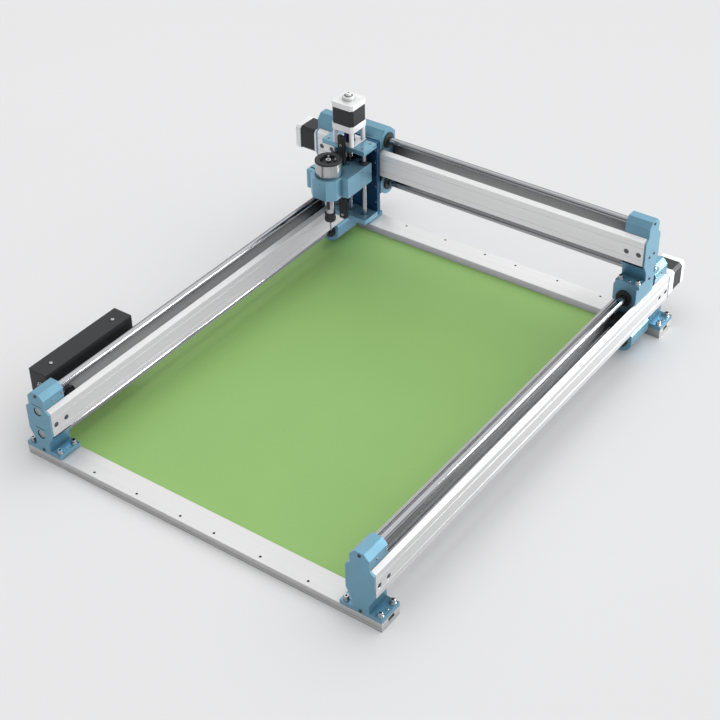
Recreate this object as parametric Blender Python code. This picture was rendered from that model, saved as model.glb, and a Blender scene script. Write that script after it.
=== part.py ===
"""CNC router: a free-standing gantry machine with twin Y rails, an X carriage and a Z spindle axis.

Lengths are millimetres in the machine frame: X to the right, Y to the rear, Z up, with z = 0 on
the top of the two crossmembers. ORIGIN moves that frame to the centre of the footprint.
"""
import math

import bmesh
import bpy
from mathutils import Matrix, Vector

MM = 0.001
GAP = 0.3
OVER = 1.0
SIDES = 24
ORIGIN = (-17.6, 419.75, -15.0)

# crossmembers and board
CROSS_HALF = 313.0
CROSS_WIDTH = 40.0
CROSS_HEIGHT = 15.0
CHAMBER = (14.5, 28.0)
CHAMBER_Z = (-8.0, -1.5)
SEAT_INNER = 246.0
FRONT_Y = -8.5
REAR_Y = 793.7
TAP_X = (30.0, 110.0, 190.0)
TAP_INSET = 8.5
TAP_RADIUS = 2.0
TAP_DEPTH = 8.0
BOARD_X = (-298.0, 262.0)
BOARD_THICK = 3.0

# rail section, shared by the Y rails and the X beam; heights from the block's base
RAIL_X = 280.0
BLOCK_DEPTH = 40.0
BLOCK_PLATE = 3.0
BLOCK_HALF = 22.5
ROD_RADIUS = 6.0
ROD_HIGH = 92.5
ROD_LOW = 14.8
ROD_INSET = 5.0
SCREW_HEIGHT = 55.5
SCREW_RADIUS = 4.0
SCREW_TAIL = 18.0
POCKET_RADIUS = 11.3
BEARING_SEAT = 30.0
FLANGE_HALF = 33.0
FLANGE_THICK = 7.0
SINK_INSETS = (11.5, 31.7)
SINK_HEIGHT = 54.0
PORT_HEIGHTS = (33.0, 74.4)
SLIT_HEIGHTS = (44.5, 85.0)

# gantry
BEAM_Y = 709.5
BEAM_Z = 117.0
BEAM_HALF = 305.0
SLIDER_Y = (681.0, 738.0)
SLIDER_HALF = 19.7
SLIDER_BELLY = 20.8
NUT_REACH = 36.0

# X carriage and Z axis
CAR_X = -217.0
CAR_HALF = 42.5
PLATE_HALF = 41.4
AXIS_Y = 661.5
FRAME_FRONT = 643.5
PLATE_Y = (679.0, 686.7)
PLATE_Z = (81.0, 217.0)
END_PLATE = 8.0
Z_ROD_SPREAD = 28.0
Z_ROD_RADIUS = 4.0
BAR_HALF = 6.0
BAR_FRONT = 637.0
BAR_Z = (83.0, 236.0)
SEAM_Y = 640.0
Z_SLIDE_HALF = 37.0
Z_SLIDE_BACK = 670.0
Z_SLIDE_Z = (150.0, 184.5)
Z_NUT_TOP = 204.5
CLAMP_Z = (149.5, 185.0)
CLAMP_FRONT = ((37.0, 1.0), (25.65, -1.0), (25.65, -14.9), (13.35, -27.2))
CLAMP_EAR = (38.5, 24.5)
CLAMP_EAR_DEPTH = 8.0
CLAMP_SLIT = 0.8
SPINDLE_Y = 604.0
SPINDLE_RADIUS = 22.1
SPINDLE_Z = (151.0, 211.5)
MOUNT_TOP = 243.1
POST_SPREAD = 15.6
POST_RADIUS = 3.9

# stepper motors: bell, stack and cap lengths
MOTOR_HALF = 21.15
MOTOR_CORNER = 4.2
SHAFT_RADIUS = 2.5
Y_MOTOR = (18.6, 26.2, 9.2)
X_MOTOR = (4.7, 28.6, 9.6)
Z_MOTOR = (11.5, 28.2, 9.6)
KNOB = ((6.0, 9.7), (10.7, 4.8))

# control box and limit switch
CASE_X = (-337.0, -302.8)
CASE_Y = (36.0, 217.3)
CASE_Z = (30.0, 100.0)
LID_THICK = 1.5
CASE_WALL = 2.0
LID_SCREWS = (62.4, 192.5)
SWITCH_Y = (58.0, 77.0)
SWITCH_Z = (46.0, 58.5)
SWITCH_DEPTH = 8.0

BLUE = (0.22, 0.42, 0.56)
DARK_BLUE = (0.05, 0.16, 0.30)
SILVER = (0.72, 0.73, 0.74)
CHROME = (0.62, 0.63, 0.65)
BLACK = (0.025, 0.026, 0.028)
GREEN = (0.33, 0.55, 0.19)
STEEL = (0.42, 0.43, 0.45)


def clear_scene():
    for obj in list(bpy.data.objects):
        bpy.data.objects.remove(obj, do_unlink=True)


def place(u, v, t, axis):
    """Point from two section coordinates and a position along the axis."""
    if axis == "X":
        return (t, u, v)
    if axis == "Y":
        return (u, t, v)
    return (u, v, t)


def mesh_from(rings, cyclic=False):
    """Closed surface through equal rings of points; the end rings are capped unless cyclic."""
    bm = bmesh.new()
    loops = [[bm.verts.new(p) for p in ring] for ring in rings]
    count = len(loops[0])
    spans = len(loops) if cyclic else len(loops) - 1
    for i in range(spans):
        low = loops[i]
        high = loops[(i + 1) % len(loops)]
        for k in range(count):
            n = (k + 1) % count
            bm.faces.new((low[k], low[n], high[n], high[k]))
    if not cyclic:
        bm.faces.new(list(reversed(loops[0])))
        bm.faces.new(loops[-1])
    bmesh.ops.recalc_face_normals(bm, faces=bm.faces)
    if bm.calc_volume(signed=True) < 0:
        bmesh.ops.reverse_faces(bm, faces=bm.faces)
    return bm


def prism(outline, axis, start, end, between=()):
    """Extrusion of a section outline along an axis, with edge loops at the stations between."""
    stations = (start, *between, end)
    return mesh_from([[place(u, v, t, axis) for u, v in outline] for t in stations])


def box(x, y, z):
    return prism([(x[0], y[0]), (x[1], y[0]), (x[1], y[1]), (x[0], y[1])], "Z", z[0], z[1])


def lathe(axis, centre, profile, cyclic=False, sides=SIDES):
    """Turned shape; the profile lists (position along the axis, radius)."""
    rings = []
    for t, radius in profile:
        ring = []
        for k in range(sides):
            a = 2 * math.pi * k / sides
            ring.append(place(centre[0] + radius * math.cos(a), centre[1] + radius * math.sin(a), t, axis))
        rings.append(ring)
    return mesh_from(rings, cyclic)


def rod(axis, centre, radius, start, end, sides=SIDES):
    return lathe(axis, centre, [(start, radius), (end, radius)], sides=sides)


def mirrored(half):
    """Full outline from its right half, listed bottom to top."""
    return list(half) + [(-u, v) for u, v in reversed(half)]


def moved(bm, matrix):
    bmesh.ops.transform(bm, matrix=matrix, verts=bm.verts)
    return bm


def temp_object(bm):
    mesh = bpy.data.meshes.new("work")
    bm.to_mesh(mesh)
    bm.free()
    obj = bpy.data.objects.new("work", mesh)
    bpy.context.scene.collection.objects.link(obj)
    return obj


def combine(base, tools, operation):
    """Exact Boolean of a shape with each tool in turn."""
    body = temp_object(base)
    for tool in tools:
        other = temp_object(tool)
        mod = body.modifiers.new("step", "BOOLEAN")
        mod.operation = operation
        mod.solver = "EXACT"
        mod.object = other
        graph = bpy.context.evaluated_depsgraph_get()
        result = bpy.data.meshes.new_from_object(body.evaluated_get(graph))
        body.modifiers.clear()
        body.data = result
        bpy.data.objects.remove(other, do_unlink=True)
    out = bmesh.new()
    out.from_mesh(body.data)
    bpy.data.objects.remove(body, do_unlink=True)
    bmesh.ops.remove_doubles(out, verts=out.verts, dist=1e-4)
    return out


def cut(base, tools):
    return combine(base, tools, "DIFFERENCE")


def fuse(base, tools):
    return combine(base, tools, "UNION")


def add(name, bm, colour, rough, metal, origin=None):
    """Finish a node: scale to metres, set its origin and give it its own material."""
    if origin is None:
        low = [min(v.co[i] for v in bm.verts) for i in range(3)]
        high = [max(v.co[i] for v in bm.verts) for i in range(3)]
        origin = [(a + b) / 2 for a, b in zip(low, high)]
    bmesh.ops.translate(bm, vec=-Vector(origin), verts=bm.verts)
    bmesh.ops.scale(bm, vec=(MM, MM, MM), verts=bm.verts)
    mesh = bpy.data.meshes.new(name)
    bm.to_mesh(mesh)
    bm.free()
    obj = bpy.data.objects.new(name, mesh)
    obj.location = [(a - b) * MM for a, b in zip(origin, ORIGIN)]
    bpy.context.scene.collection.objects.link(obj)
    mat = bpy.data.materials.new(name + "_finish")
    mat.use_nodes = True
    shader = mat.node_tree.nodes["Principled BSDF"]
    shader.inputs["Base Color"].default_value = (*colour, 1.0)
    shader.inputs["Roughness"].default_value = rough
    shader.inputs["Metallic"].default_value = metal
    mat.diffuse_color = (*colour, 1.0)
    mesh.materials.append(mat)
    mesh.shade_smooth()
    mesh.set_sharp_from_angle(angle=math.radians(32))


def blue(name, bm):
    add(name, bm, BLUE, 0.38, 0.55)


def silver(name, bm):
    add(name, bm, SILVER, 0.32, 0.9)


def chrome(name, bm):
    add(name, bm, CHROME, 0.12, 1.0)


def black(name, bm):
    add(name, bm, BLACK, 0.5, 0.1)


def steel(name, bm, origin=None):
    add(name, bm, STEEL, 0.3, 1.0, origin)


def cap_screw(u, v, z, radius, height, sides=12):
    """Screw head standing on the face at height z, with its round socket."""
    top = z + height
    socket = radius * 0.55
    profile = [(z - 0.5, radius), (top, radius), (top, socket), (top - height * 0.5, socket)]
    return lathe("Z", (u, v), profile, sides=sides)


# ---------------------------------------------------------------- base frame

def crossmember(name, outer, inward):
    """Flat extrusion along X with one hollow chamber; inward is the direction of its depth.

    The edge loops part the clear top from the seats under the two end blocks.
    """
    section = [(0, -CROSS_HEIGHT), (0, -12.2), (0.6, -11.8), (0.6, -8.4), (0, -8.0), (0, -0.5), (0.5, 0),
               (CROSS_WIDTH - 0.5, 0), (CROSS_WIDTH, -0.5), (CROSS_WIDTH, -CROSS_HEIGHT)]
    outline = [(outer + inward * p, q) for p, q in section]
    bar = prism(outline, "X", -CROSS_HALF, CROSS_HALF, (-SEAT_INNER, SEAT_INNER))
    chamber = sorted(outer + inward * p for p in CHAMBER)
    tools = [box((-CROSS_HALF - OVER, CROSS_HALF + OVER), chamber, CHAMBER_Z)]
    row = outer + inward * TAP_INSET
    for x in TAP_X:
        for side in (-1, 1):
            tools.append(rod("Z", (side * x, row), TAP_RADIUS, -TAP_DEPTH, OVER, 10))
    silver(name, cut(bar, tools))


def work_board():
    near = FRONT_Y + CROSS_WIDTH + GAP
    far = REAR_Y - CROSS_WIDTH - GAP
    board = box(BOARD_X, (near, far), (-CROSS_HEIGHT, BOARD_THICK - CROSS_HEIGHT))
    add("work_board", board, GREEN, 0.7, 0.0)


def block_body():
    """Solid rail end block: outer face at y = 0, the rail running to +Y, base at z = 0.

    The face plate has the full profile; behind it the core fits inside the two rail walls.
    """
    plate = mirrored([(13, 0), (13, 19.5), (BLOCK_HALF, 37), (BLOCK_HALF, 77), (15.4, 82.5),
                      (15.4, 98.7), (7.2, 107.3)])
    core = mirrored([(13, 0), (13, 19.5), (19.4, 31.4), (15.2, 31.4), (15.2, 35.8), (19.2, 38.6),
                     (19.2, 75.4), (15.2, 78.2), (15.2, 98.7), (7.2, 107.3)])
    parts = [prism(core, "Y", BLOCK_PLATE - OVER, BLOCK_DEPTH),
             box((-FLANGE_HALF, FLANGE_HALF), (0.0, BLOCK_DEPTH), (0.0, FLANGE_THICK))]
    for side in (-1, 1):
        for v in (6.0, 34.0):
            parts.append(cap_screw(side * 26.5, v, FLANGE_THICK, 3.6, 5.8))
    return fuse(prism(plate, "Y", 0.0, BLOCK_PLATE), parts)


def block_shape(motor_end=False, ported=False):
    """End block with its rod bores and either the coupling tunnel or the bearing pocket."""
    tools = []
    for z in (ROD_HIGH, ROD_LOW):
        tools.append(rod("Y", (0, z), ROD_RADIUS + GAP, ROD_INSET - OVER, BLOCK_DEPTH + OVER))
    if motor_end:
        tools.append(rod("Y", (0, SCREW_HEIGHT), POCKET_RADIUS, -OVER, BLOCK_DEPTH + OVER))
    else:
        tail = SCREW_TAIL - OVER
        tools.append(rod("Y", (0, SCREW_HEIGHT), POCKET_RADIUS, BEARING_SEAT, BLOCK_DEPTH + OVER))
        tools.append(rod("Y", (0, SCREW_HEIGHT), SCREW_RADIUS + 0.6, tail, BEARING_SEAT + OVER, 16))
    if ported:
        for z in PORT_HEIGHTS:
            tools.append(rod("Y", (0, z), 7.2, -OVER, 2.5, 20))
        for z in SLIT_HEIGHTS:
            tools.append(box((-9.2, 9.2), (-OVER, 2.0), (z - 0.6, z + 0.6)))
    return cut(block_body(), tools)


def stand(bm, angle, x, y, z):
    """Turn a block about Z and set it down at its place."""
    turn = Matrix.Rotation(math.radians(angle), 4, "Z")
    return moved(bm, Matrix.Translation((x, y, z)) @ turn)


def corner_blocks():
    blue("block_front_left", stand(block_shape(ported=True), 0, -RAIL_X, FRONT_Y, 0))
    blue("block_front_right", stand(block_shape(), 0, RAIL_X, FRONT_Y, 0))
    blue("block_rear_left", stand(block_shape(motor_end=True), 180, -RAIL_X, REAR_Y, 0))
    blue("block_rear_right", stand(block_shape(motor_end=True), 180, RAIL_X, REAR_Y, 0))


def wall(name, axis, centre, side, base, start, end):
    """Side wall of a rail: a lipped channel with two face grooves and four countersinks."""
    half = [(15.5, 32.0), (22.5, 36.5), (22.5, 45.6), (22.0, 46.0), (22.5, 46.4), (22.5, 66.6),
            (22.0, 67.0), (22.5, 67.4), (22.5, 77.5), (15.5, 82.0), (15.5, 78.5), (19.5, 75.8),
            (19.5, 38.2), (15.5, 35.5)]
    outline = [(centre + side * u, base + v) for u, v in half]
    face = centre + side * BLOCK_HALF
    cone = [(face - side * 2.2, 2.4), (face, 4.6), (face + side * 0.4, 5.0)]
    across = "X" if axis == "Y" else "Y"
    tools = []
    for inset in SINK_INSETS:
        reach = inset - BLOCK_PLATE - GAP
        for t in (start + reach, end - reach):
            tools.append(lathe(across, (t, base + SINK_HEIGHT), cone, sides=12))
    silver(name, cut(prism(outline, axis, start, end), tools))


def y_rails():
    start = FRONT_Y + BLOCK_PLATE + GAP
    end = REAR_Y - BLOCK_PLATE - GAP
    for tag, side in (("left", -1), ("right", 1)):
        x = side * RAIL_X
        wall("rail_" + tag + "_outer_wall", "Y", x, side, 0, start, end)
        wall("rail_" + tag + "_inner_wall", "Y", x, -side, 0, start, end)
        for level, z in (("upper", ROD_HIGH), ("lower", ROD_LOW)):
            bar = rod("Y", (x, z), ROD_RADIUS, FRONT_Y + ROD_INSET, REAR_Y - ROD_INSET)
            chrome("y_rod_" + tag + "_" + level, bar)


def screw_bearing(name, axis, centre, face, inward):
    """Ball bearing in its pocket; face is the block's outer face."""
    near = face + inward * (BEARING_SEAT + GAP)
    far = near + inward * 7.0
    steel(name, lathe(axis, centre, [(near, 4.4), (near, 11.0), (far, 11.0), (far, 4.4)], True))


def leadscrew(name, axis, centre, tail, drive):
    """Lead screw, its shaft coupling and the motor shaft, which turn together."""
    step = 1 if drive > tail else -1
    near = drive - step * 22.0
    far = drive - step * 2.0
    tip = drive + step * 12.0
    profile = [(tail, 3.4), (tail + step, SCREW_RADIUS), (near, SCREW_RADIUS), (near, 8.6), (far, 8.6),
               (far, SHAFT_RADIUS), (tip, SHAFT_RADIUS)]
    origin = place(centre[0], centre[1], (tail + drive) / 2, axis)
    steel(name, lathe(axis, centre, profile, sides=20), origin)


# ---------------------------------------------------------------- motors

def motor_shape(lengths, knob):
    """Stepper motor standing on its mounting face at z = 0; knob lists the turned steps on its cap."""
    bell, stack, cap = lengths
    mid = bell + stack
    top = mid + cap
    slim = MOTOR_HALF - 0.5
    stations = [(0, MOTOR_HALF), (bell, MOTOR_HALF), (bell, slim), (mid, slim), (mid, MOTOR_HALF),
                (top, MOTOR_HALF)]
    rings = []
    for z, h in stations:
        c = h - MOTOR_CORNER
        corners = [(c, -h), (h, -c), (h, c), (c, h), (-c, h), (-h, c), (-h, -c), (-c, -h)]
        rings.append([(x, y, z) for x, y in corners])
    body = mesh_from(rings)
    for height, radius in knob:
        body = fuse(body, [rod("Z", (0, 0), radius, top - OVER, top + height)])
    return cut(body, [rod("Z", (0, 0), SHAFT_RADIUS + 0.5, -OVER, 15, 16)])


def motor(name, lengths, turn, spot, knob=()):
    black(name, moved(motor_shape(lengths, knob), Matrix.Translation(spot) @ turn))


def y_drives():
    face = REAR_Y + GAP
    turn = Matrix.Rotation(math.radians(-90), 4, "X")
    for tag, side in (("left", -1), ("right", 1)):
        centre = (side * RAIL_X, SCREW_HEIGHT)
        motor("y_motor_" + tag, Y_MOTOR, turn, (centre[0], face, SCREW_HEIGHT))
        screw_bearing("y_screw_bearing_" + tag, "Y", centre, FRONT_Y, 1)
        leadscrew("y_screw_" + tag, "Y", centre, FRONT_Y + SCREW_TAIL, face)


# ---------------------------------------------------------------- control box and switch

def control_box():
    seam = CASE_Z[1] - LID_THICK
    case = box(CASE_X, CASE_Y, (CASE_Z[0], seam - GAP))
    inside = [(low + CASE_WALL, high - CASE_WALL) for low, high in (CASE_X, CASE_Y)]
    cavity = box(*inside, (CASE_Z[0] + CASE_WALL, CASE_Z[1]))
    inlet = rod("Y", (-315.0, 78.0), 5.0, CASE_Y[0] - OVER, CASE_Y[0] + CASE_WALL + OVER, 16)
    black("control_box_case", cut(case, [cavity, inlet]))
    heads = [cap_screw(-318.0, y, CASE_Z[1], 2.6, 1.2) for y in LID_SCREWS]
    black("control_box_lid", fuse(box(CASE_X, CASE_Y, (seam, CASE_Z[1])), heads))


def limit_switch():
    """Switch on the left rail's outer wall, just short of where the left slider arrives."""
    wall_face = -RAIL_X - 19.5 + GAP
    black("y_limit_switch", box((wall_face, wall_face + SWITCH_DEPTH), SWITCH_Y, SWITCH_Z))


# ---------------------------------------------------------------- sliders

def slider_outline(top):
    """Housing around the lower rod, web between the rail walls, housing around the upper rod."""
    half = []
    for degrees in (10, 30, 50, 70):
        a = math.radians(degrees)
        half.append((SLIDER_BELLY * math.sin(a), ROD_LOW - SLIDER_BELLY * math.cos(a)))
    half += [(SLIDER_HALF, 26.0), (14.0, 31.0), (14.0, 84.0), (SLIDER_HALF, 84.0)]
    return mirrored(half + top)


def slider_bores(axis, centre, base, start, end):
    tools = []
    for z, radius in ((ROD_LOW, 10.8), (SCREW_HEIGHT, 8.3), (ROD_HIGH, 10.8)):
        tools.append(rod(axis, (centre, base + z), radius, start - OVER, end + OVER))
    return tools


def bushing(name, axis, centre, start, end):
    """Linear bearing with a sealing flange outside each end of its bore."""
    inner = ROD_RADIUS + 0.25
    profile = [(start - 2.5, inner), (start - 2.5, 13.0), (start - GAP, 13.0), (start - GAP, 10.5),
               (end + GAP, 10.5), (end + GAP, 13.0), (end + 2.5, 13.0), (end + 2.5, inner)]
    black(name, lathe(axis, centre, profile, True))


def nut(name, axis, centre, face, back, reach):
    """Screw nut in the slider, with a wider barrel standing out of its face by the reach."""
    out = 1 if face > back else -1
    inner = SCREW_RADIUS + GAP
    tip = face + out * reach
    seat = face + out * GAP
    profile = [(tip, inner), (tip, 10.5), (seat, 10.5), (seat, 8.0), (back, 8.0), (back, inner)]
    black(name, lathe(axis, centre, profile, True, 20))


def gantry_sliders():
    flat_top = [(SLIDER_HALF, 112.5), (15.5, BEAM_Z - GAP)]
    for tag, side in (("left", -1), ("right", 1)):
        x = side * RAIL_X
        outline = [(x + u, v) for u, v in slider_outline(flat_top)]
        body = prism(outline, "Y", *SLIDER_Y)
        blue("gantry_slider_" + tag, cut(body, slider_bores("Y", x, 0, *SLIDER_Y)))
        bushing("y_bearing_" + tag + "_upper", "Y", (x, ROD_HIGH), *SLIDER_Y)
        bushing("y_bearing_" + tag + "_lower", "Y", (x, ROD_LOW), *SLIDER_Y)
        nut("y_nut_" + tag, "Y", (x, SCREW_HEIGHT), *SLIDER_Y, NUT_REACH)


def gantry_beam():
    blue("gantry_block_left", stand(block_shape(motor_end=True), -90, -BEAM_HALF, BEAM_Y, BEAM_Z))
    blue("gantry_block_right", stand(block_shape(), 90, BEAM_HALF, BEAM_Y, BEAM_Z))
    end = BEAM_HALF - BLOCK_PLATE - GAP
    wall("beam_front_wall", "X", BEAM_Y, -1, BEAM_Z, -end, end)
    wall("beam_rear_wall", "X", BEAM_Y, 1, BEAM_Z, -end, end)
    reach = BEAM_HALF - ROD_INSET
    for level, z in (("upper", ROD_HIGH), ("lower", ROD_LOW)):
        chrome("x_rod_" + level, rod("X", (BEAM_Y, BEAM_Z + z), ROD_RADIUS, -reach, reach))
    axis = (BEAM_Y, BEAM_Z + SCREW_HEIGHT)
    face = -BEAM_HALF - GAP
    motor("x_motor", X_MOTOR, Matrix.Rotation(math.radians(-90), 4, "Y"), (face, *axis))
    screw_bearing("x_screw_bearing", "X", axis, BEAM_HALF, -1)
    leadscrew("x_screw", "X", axis, BEAM_HALF - SCREW_TAIL, face)


# ---------------------------------------------------------------- X carriage

def x_slider():
    start = CAR_X - CAR_HALF
    end = CAR_X + CAR_HALF
    roof = [(SLIDER_HALF, 101.5), (8.5, 112.5)]
    outline = [(BEAM_Y + u, BEAM_Z + v) for u, v in slider_outline(roof)]
    front = PLATE_Y[1] + GAP
    arms = [box((start, end), (front, BEAM_Y), (BEAM_Z + 84.0, BEAM_Z + 101.0)),
            box((start, end), (front, BEAM_Y), (BEAM_Z + 3.0, BEAM_Z + 25.0))]
    body = fuse(prism(outline, "X", start, end), arms)
    blue("x_slider", cut(body, slider_bores("X", BEAM_Y, BEAM_Z, start, end)))
    bushing("x_bearing_upper", "X", (BEAM_Y, BEAM_Z + ROD_HIGH), start, end)
    bushing("x_bearing_lower", "X", (BEAM_Y, BEAM_Z + ROD_LOW), start, end)
    nut("x_nut", "X", (BEAM_Y, BEAM_Z + SCREW_HEIGHT), end, start, 12.0)


def z_frame():
    x = (CAR_X - PLATE_HALF, CAR_X + PLATE_HALF)
    depth = (FRAME_FRONT, PLATE_Y[0] - GAP)
    top = (PLATE_Z[1] - END_PLATE, PLATE_Z[1])
    low = (PLATE_Z[0], PLATE_Z[0] + END_PLATE)
    seat = END_PLATE - 2.0
    upper = [rod("Z", (CAR_X, AXIS_Y), 5.5, top[0] - OVER, top[1] + OVER)]
    lower = [rod("Z", (CAR_X, AXIS_Y), SCREW_RADIUS + 0.4, low[0] + 3, low[1] + OVER, 16)]
    for tag, side in (("left", -1), ("right", 1)):
        spot = (CAR_X + side * Z_ROD_SPREAD, AXIS_Y)
        upper.append(rod("Z", spot, Z_ROD_RADIUS + GAP, top[0] - OVER, top[0] + seat, 20))
        lower.append(rod("Z", spot, Z_ROD_RADIUS + GAP, low[1] - seat, low[1] + OVER, 20))
        chrome("z_rod_" + tag, rod("Z", spot, Z_ROD_RADIUS, low[1] - seat + GAP, top[0] + seat - GAP, 20))
    add("z_back_plate", box(x, PLATE_Y, PLATE_Z), DARK_BLUE, 0.4, 0.5)
    blue("z_top_plate", cut(box(x, depth, top), upper))
    blue("z_bottom_plate", cut(box(x, depth, low), lower))
    black("z_limit_bar", box((CAR_X - BAR_HALF, CAR_X + BAR_HALF), (BAR_FRONT, FRAME_FRONT - GAP), BAR_Z))


def z_drive():
    base = PLATE_Z[1] + GAP
    half = POST_SPREAD + POST_RADIUS
    foot = box((CAR_X - half, CAR_X + half), (FRAME_FRONT, AXIS_Y + half), (base, base + 1.5))
    posts = []
    for sx in (-1, 1):
        for sy in (-1, 1):
            spot = (CAR_X + sx * POST_SPREAD, AXIS_Y + sy * POST_SPREAD)
            posts.append(rod("Z", spot, POST_RADIUS, base + 0.5, MOUNT_TOP, 16))
    silver("z_motor_mount", cut(fuse(foot, posts), [rod("Z", (CAR_X, AXIS_Y), 9.6, base - OVER, base + 3)]))
    face = MOUNT_TOP + GAP
    motor("z_motor", Z_MOTOR, Matrix.Identity(4), (CAR_X, AXIS_Y, face), KNOB)
    leadscrew("z_screw", "Z", (CAR_X, AXIS_Y), PLATE_Z[0] + 4.0, face)


# ---------------------------------------------------------------- Z carriage and spindle

def bar_notch(z):
    """Clearance for the fixed limit bar, in the slider and in the clamp."""
    wide = BAR_HALF + 0.6
    deep = (BAR_FRONT - 0.6, FRAME_FRONT + 0.3)
    return box((CAR_X - wide, CAR_X + wide), deep, (z[0] - OVER, z[1] + OVER))


def z_slider():
    low, high = Z_SLIDE_Z
    body = box((CAR_X - Z_SLIDE_HALF, CAR_X + Z_SLIDE_HALF), (SEAM_Y + GAP, Z_SLIDE_BACK), Z_SLIDE_Z)
    tools = [rod("Z", (CAR_X, AXIS_Y), 6.3, low - OVER, high + OVER),
             bar_notch(Z_SLIDE_Z)]
    for side in (-1, 1):
        spot = (CAR_X + side * Z_ROD_SPREAD, AXIS_Y)
        tools.append(rod("Z", spot, Z_ROD_RADIUS + GAP, low - OVER, high + OVER, 20))
    blue("z_slider", cut(body, tools))
    inner = SCREW_RADIUS + GAP
    seat = high + GAP
    sprung = [(low + 2, inner), (low + 2, 6.0), (seat, 6.0), (seat, 9.5),
              (seat + 3.5, 9.5), (seat + 3.5, 6.8), (Z_NUT_TOP, 6.8), (Z_NUT_TOP, inner)]
    black("z_nut", lathe("Z", (CAR_X, AXIS_Y), sprung, True, 20))


def spindle_clamp():
    """Split clamp: eight-sided in front, square wings behind, with an ear and a slit on the left."""
    outline = [(CAR_X + Z_SLIDE_HALF, SEAM_Y)]
    outline += [(CAR_X + u, SPINDLE_Y + v) for u, v in CLAMP_FRONT]
    outline += [(CAR_X - u, SPINDLE_Y + v) for u, v in reversed(CLAMP_FRONT)]
    outline.append((CAR_X - Z_SLIDE_HALF, SEAM_Y))
    low, high = CLAMP_Z
    tip, root = CLAMP_EAR
    depth = (SPINDLE_Y - CLAMP_EAR_DEPTH, SPINDLE_Y + CLAMP_EAR_DEPTH)
    ear = box((CAR_X - tip, CAR_X - root), depth, (low + 1, high - 1))
    slit = box((CAR_X - tip - OVER, CAR_X - SPINDLE_RADIUS + 3),
               (SPINDLE_Y - CLAMP_SLIT, SPINDLE_Y + CLAMP_SLIT), (low - OVER, high + OVER))
    bore = rod("Z", (CAR_X, SPINDLE_Y), SPINDLE_RADIUS + GAP, low - OVER, high + OVER, 40)
    ring = fuse(prism(outline, "Z", low, high), [ear])
    blue("spindle_clamp", cut(ring, [bore, slit, bar_notch(CLAMP_Z)]))


def spindle():
    """Spindle motor shell, the shaft with its collet chuck, and the end mill."""
    axis = (CAR_X, SPINDLE_Y)
    low, top = SPINDLE_Z
    hole = 4.5
    shell = [(low, hole), (low, SPINDLE_RADIUS - 1.5), (low + 1.5, SPINDLE_RADIUS),
             (top - 2, SPINDLE_RADIUS), (top, SPINDLE_RADIUS - 1.5), (top, 14.0),
             (top - 4, 13.0), (top - 4, hole)]
    silver("spindle_motor", lathe("Z", axis, shell, True, 40))
    slim = hole - 0.5
    turned = [(95.0, 6.0), (98.0, 9.2), (113.0, 9.2), (113.5, 8.1), (low - 1.5, 8.1),
              (low - 1.5, slim), (top - 1, slim)]
    collet = cut(lathe("Z", axis, turned), [rod("Z", axis, 1.9, 94.0, 115.0, 14)])
    steel("spindle_shaft", collet, (CAR_X, SPINDLE_Y, 125.0))
    mill = lathe("Z", axis, [(77.0, 0.6), (78.2, 1.6), (114.0, 1.6)], sides=14)
    steel("end_mill", mill, (CAR_X, SPINDLE_Y, 95.0))


def build():
    clear_scene()
    crossmember("front_crossmember", FRONT_Y, 1)
    crossmember("rear_crossmember", REAR_Y, -1)
    work_board()
    corner_blocks()
    y_rails()
    y_drives()
    control_box()
    limit_switch()
    gantry_sliders()
    gantry_beam()
    x_slider()
    z_frame()
    z_drive()
    z_slider()
    spindle_clamp()
    spindle()


build()
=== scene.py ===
import math

import bmesh
import bpy
from mathutils import Matrix, Vector

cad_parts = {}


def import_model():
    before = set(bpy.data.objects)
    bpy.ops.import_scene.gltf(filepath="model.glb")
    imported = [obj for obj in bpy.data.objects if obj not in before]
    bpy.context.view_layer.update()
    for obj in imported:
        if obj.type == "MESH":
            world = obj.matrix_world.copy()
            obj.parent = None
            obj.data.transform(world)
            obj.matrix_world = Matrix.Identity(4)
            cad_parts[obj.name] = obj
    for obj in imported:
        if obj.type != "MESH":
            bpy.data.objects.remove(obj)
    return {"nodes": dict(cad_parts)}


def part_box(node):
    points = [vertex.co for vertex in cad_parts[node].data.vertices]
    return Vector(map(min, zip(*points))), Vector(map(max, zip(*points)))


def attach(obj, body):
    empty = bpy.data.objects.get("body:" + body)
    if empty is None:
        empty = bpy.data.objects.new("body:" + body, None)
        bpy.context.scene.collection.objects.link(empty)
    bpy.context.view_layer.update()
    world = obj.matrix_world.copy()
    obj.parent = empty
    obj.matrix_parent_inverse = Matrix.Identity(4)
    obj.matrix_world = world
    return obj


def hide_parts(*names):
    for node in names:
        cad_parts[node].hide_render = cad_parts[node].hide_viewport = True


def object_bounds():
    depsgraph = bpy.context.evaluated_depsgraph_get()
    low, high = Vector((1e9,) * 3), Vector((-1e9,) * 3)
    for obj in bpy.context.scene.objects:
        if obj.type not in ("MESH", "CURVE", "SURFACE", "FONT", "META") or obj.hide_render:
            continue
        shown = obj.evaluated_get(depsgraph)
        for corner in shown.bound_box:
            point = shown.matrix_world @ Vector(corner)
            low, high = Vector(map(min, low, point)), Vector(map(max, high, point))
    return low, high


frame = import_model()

CAD_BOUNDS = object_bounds()
NODES = frame["nodes"]
MM = 0.001
TAU = 2 * math.pi

# machine frame: x = 0 at the middle, y = 0 at 8.5 mm behind the front face, z = 0 on the crossmembers
FRONT_INSET = 8.5
cross_low, cross_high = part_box("front_crossmember")
ZERO = Vector(((cross_low.x + cross_high.x) / 2, cross_low.y + FRONT_INSET * MM, cross_high.z))


def world(x, y, z):
    """Machine millimetres to the frame's metres."""
    return ZERO + Vector((x, y, z)) * MM


def span(node):
    """A node's box in machine millimetres."""
    low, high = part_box(node)
    return (low - ZERO) / MM, (high - ZERO) / MM


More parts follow.
